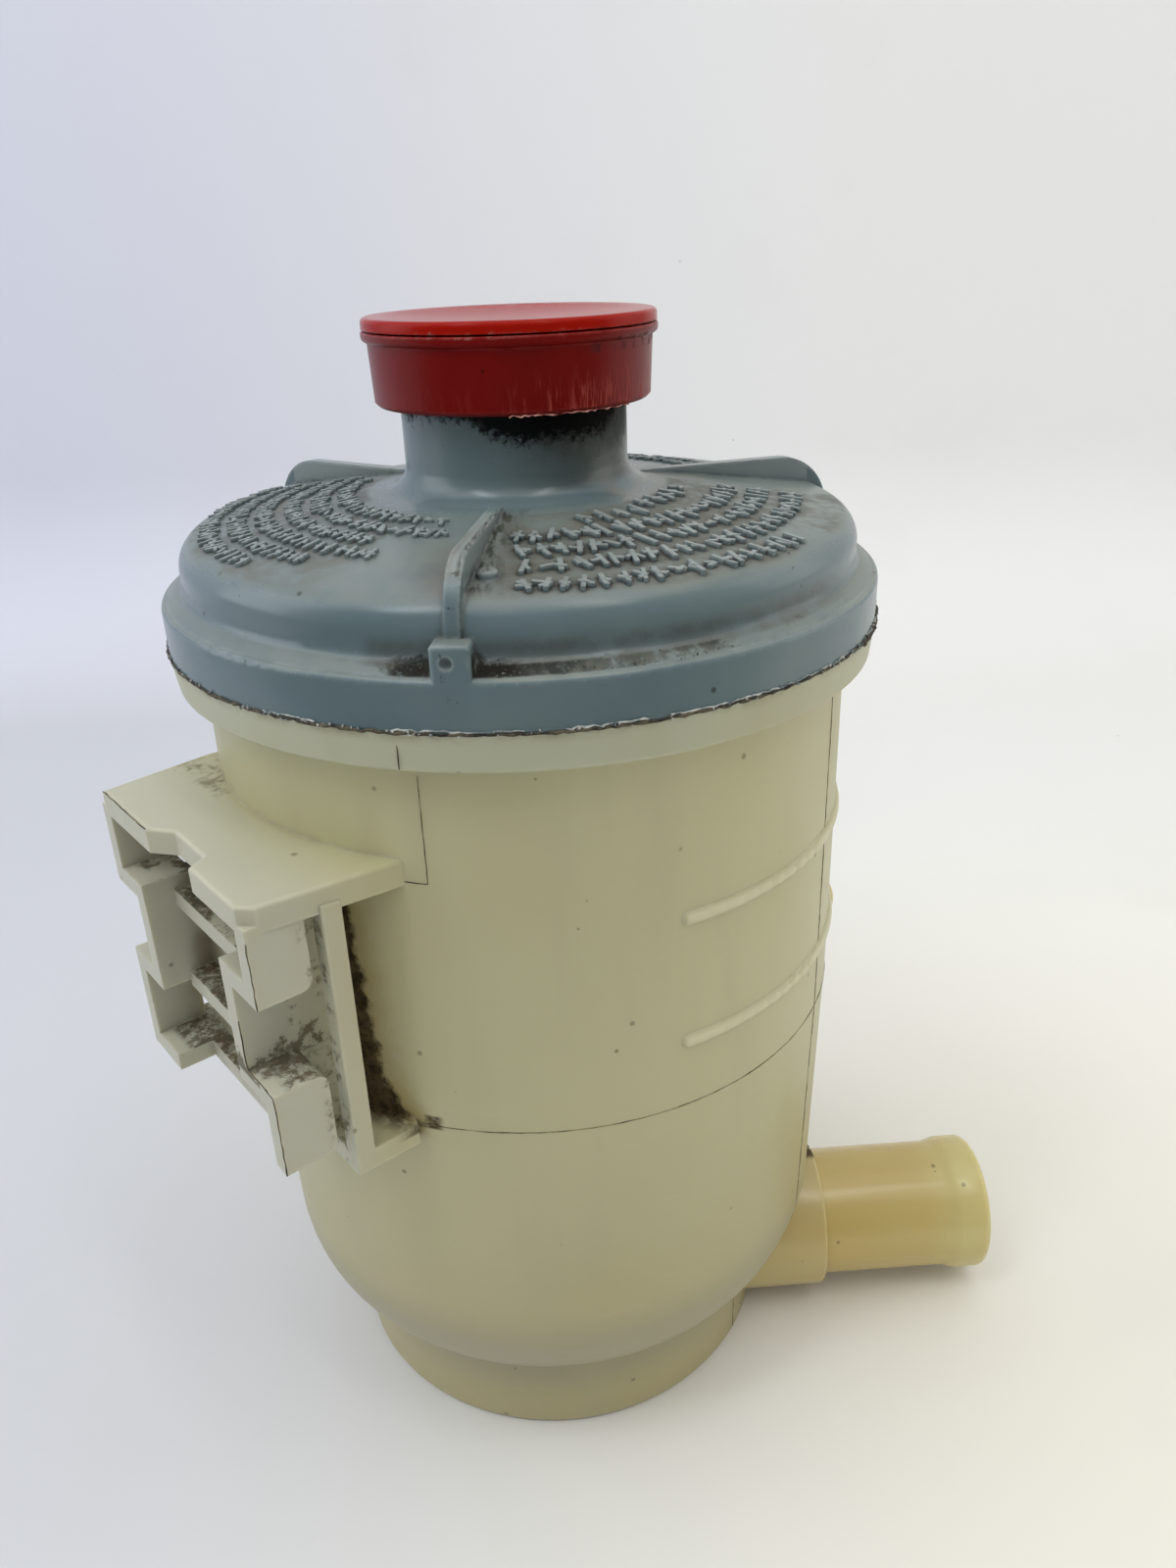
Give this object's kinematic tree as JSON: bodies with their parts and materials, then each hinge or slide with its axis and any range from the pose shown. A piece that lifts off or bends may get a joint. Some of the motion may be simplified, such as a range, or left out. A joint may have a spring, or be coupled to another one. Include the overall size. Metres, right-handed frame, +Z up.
{
  "type": "power steering fluid reservoir",
  "caption": "Upright round plastic fluid tank with a welded lid, push-on filler cap, bottom suction pipe, small return pipe and an open side bracket.",
  "frame": {"origin": "centre of the underside of the foot, on the tank axis", "axes": "+Z up along the tank axis; +X the way the suction pipe points"},
  "size_m": [0.124, 0.0942, 0.1535],
  "materials": {
    "tank_nylon": "semi-translucent natural nylon, aged",
    "lid_plastic": "satin blue-grey",
    "cap_plastic": "semi-gloss deep red",
    "seal_rubber": "matte black",
    "vent_felt": "white felt",
    "inner_plastic": "natural nylon",
    "mesh": "fine nylon mesh",
    "magnet": "dark grey ferrite"
  },
  "bodies": {
    "tank": {"tank_body": "tank_nylon", "lid": "lid_plastic", "neck_screen_frame": "inner_plastic", "neck_screen_mesh": "mesh", "splash_baffle": "inner_plastic", "return_diffuser": "inner_plastic", "bottom_screen_lower": "inner_plastic", "bottom_screen_mesh": "mesh", "bottom_screen_upper": "inner_plastic", "sump_magnet": "magnet"},
    "cap": {"cap_shell": "cap_plastic", "cap_disc": "cap_plastic", "cap_seal": "seal_rubber", "cap_vent_pad": "vent_felt", "cap_splash_plate": "inner_plastic"}
  },
  "joints": [
    {"name": "cap_lift", "type": "slide", "parent": "tank", "child": "cap", "axis": [0, 0, 1], "range_m": [0, 0.025]}
  ]
}
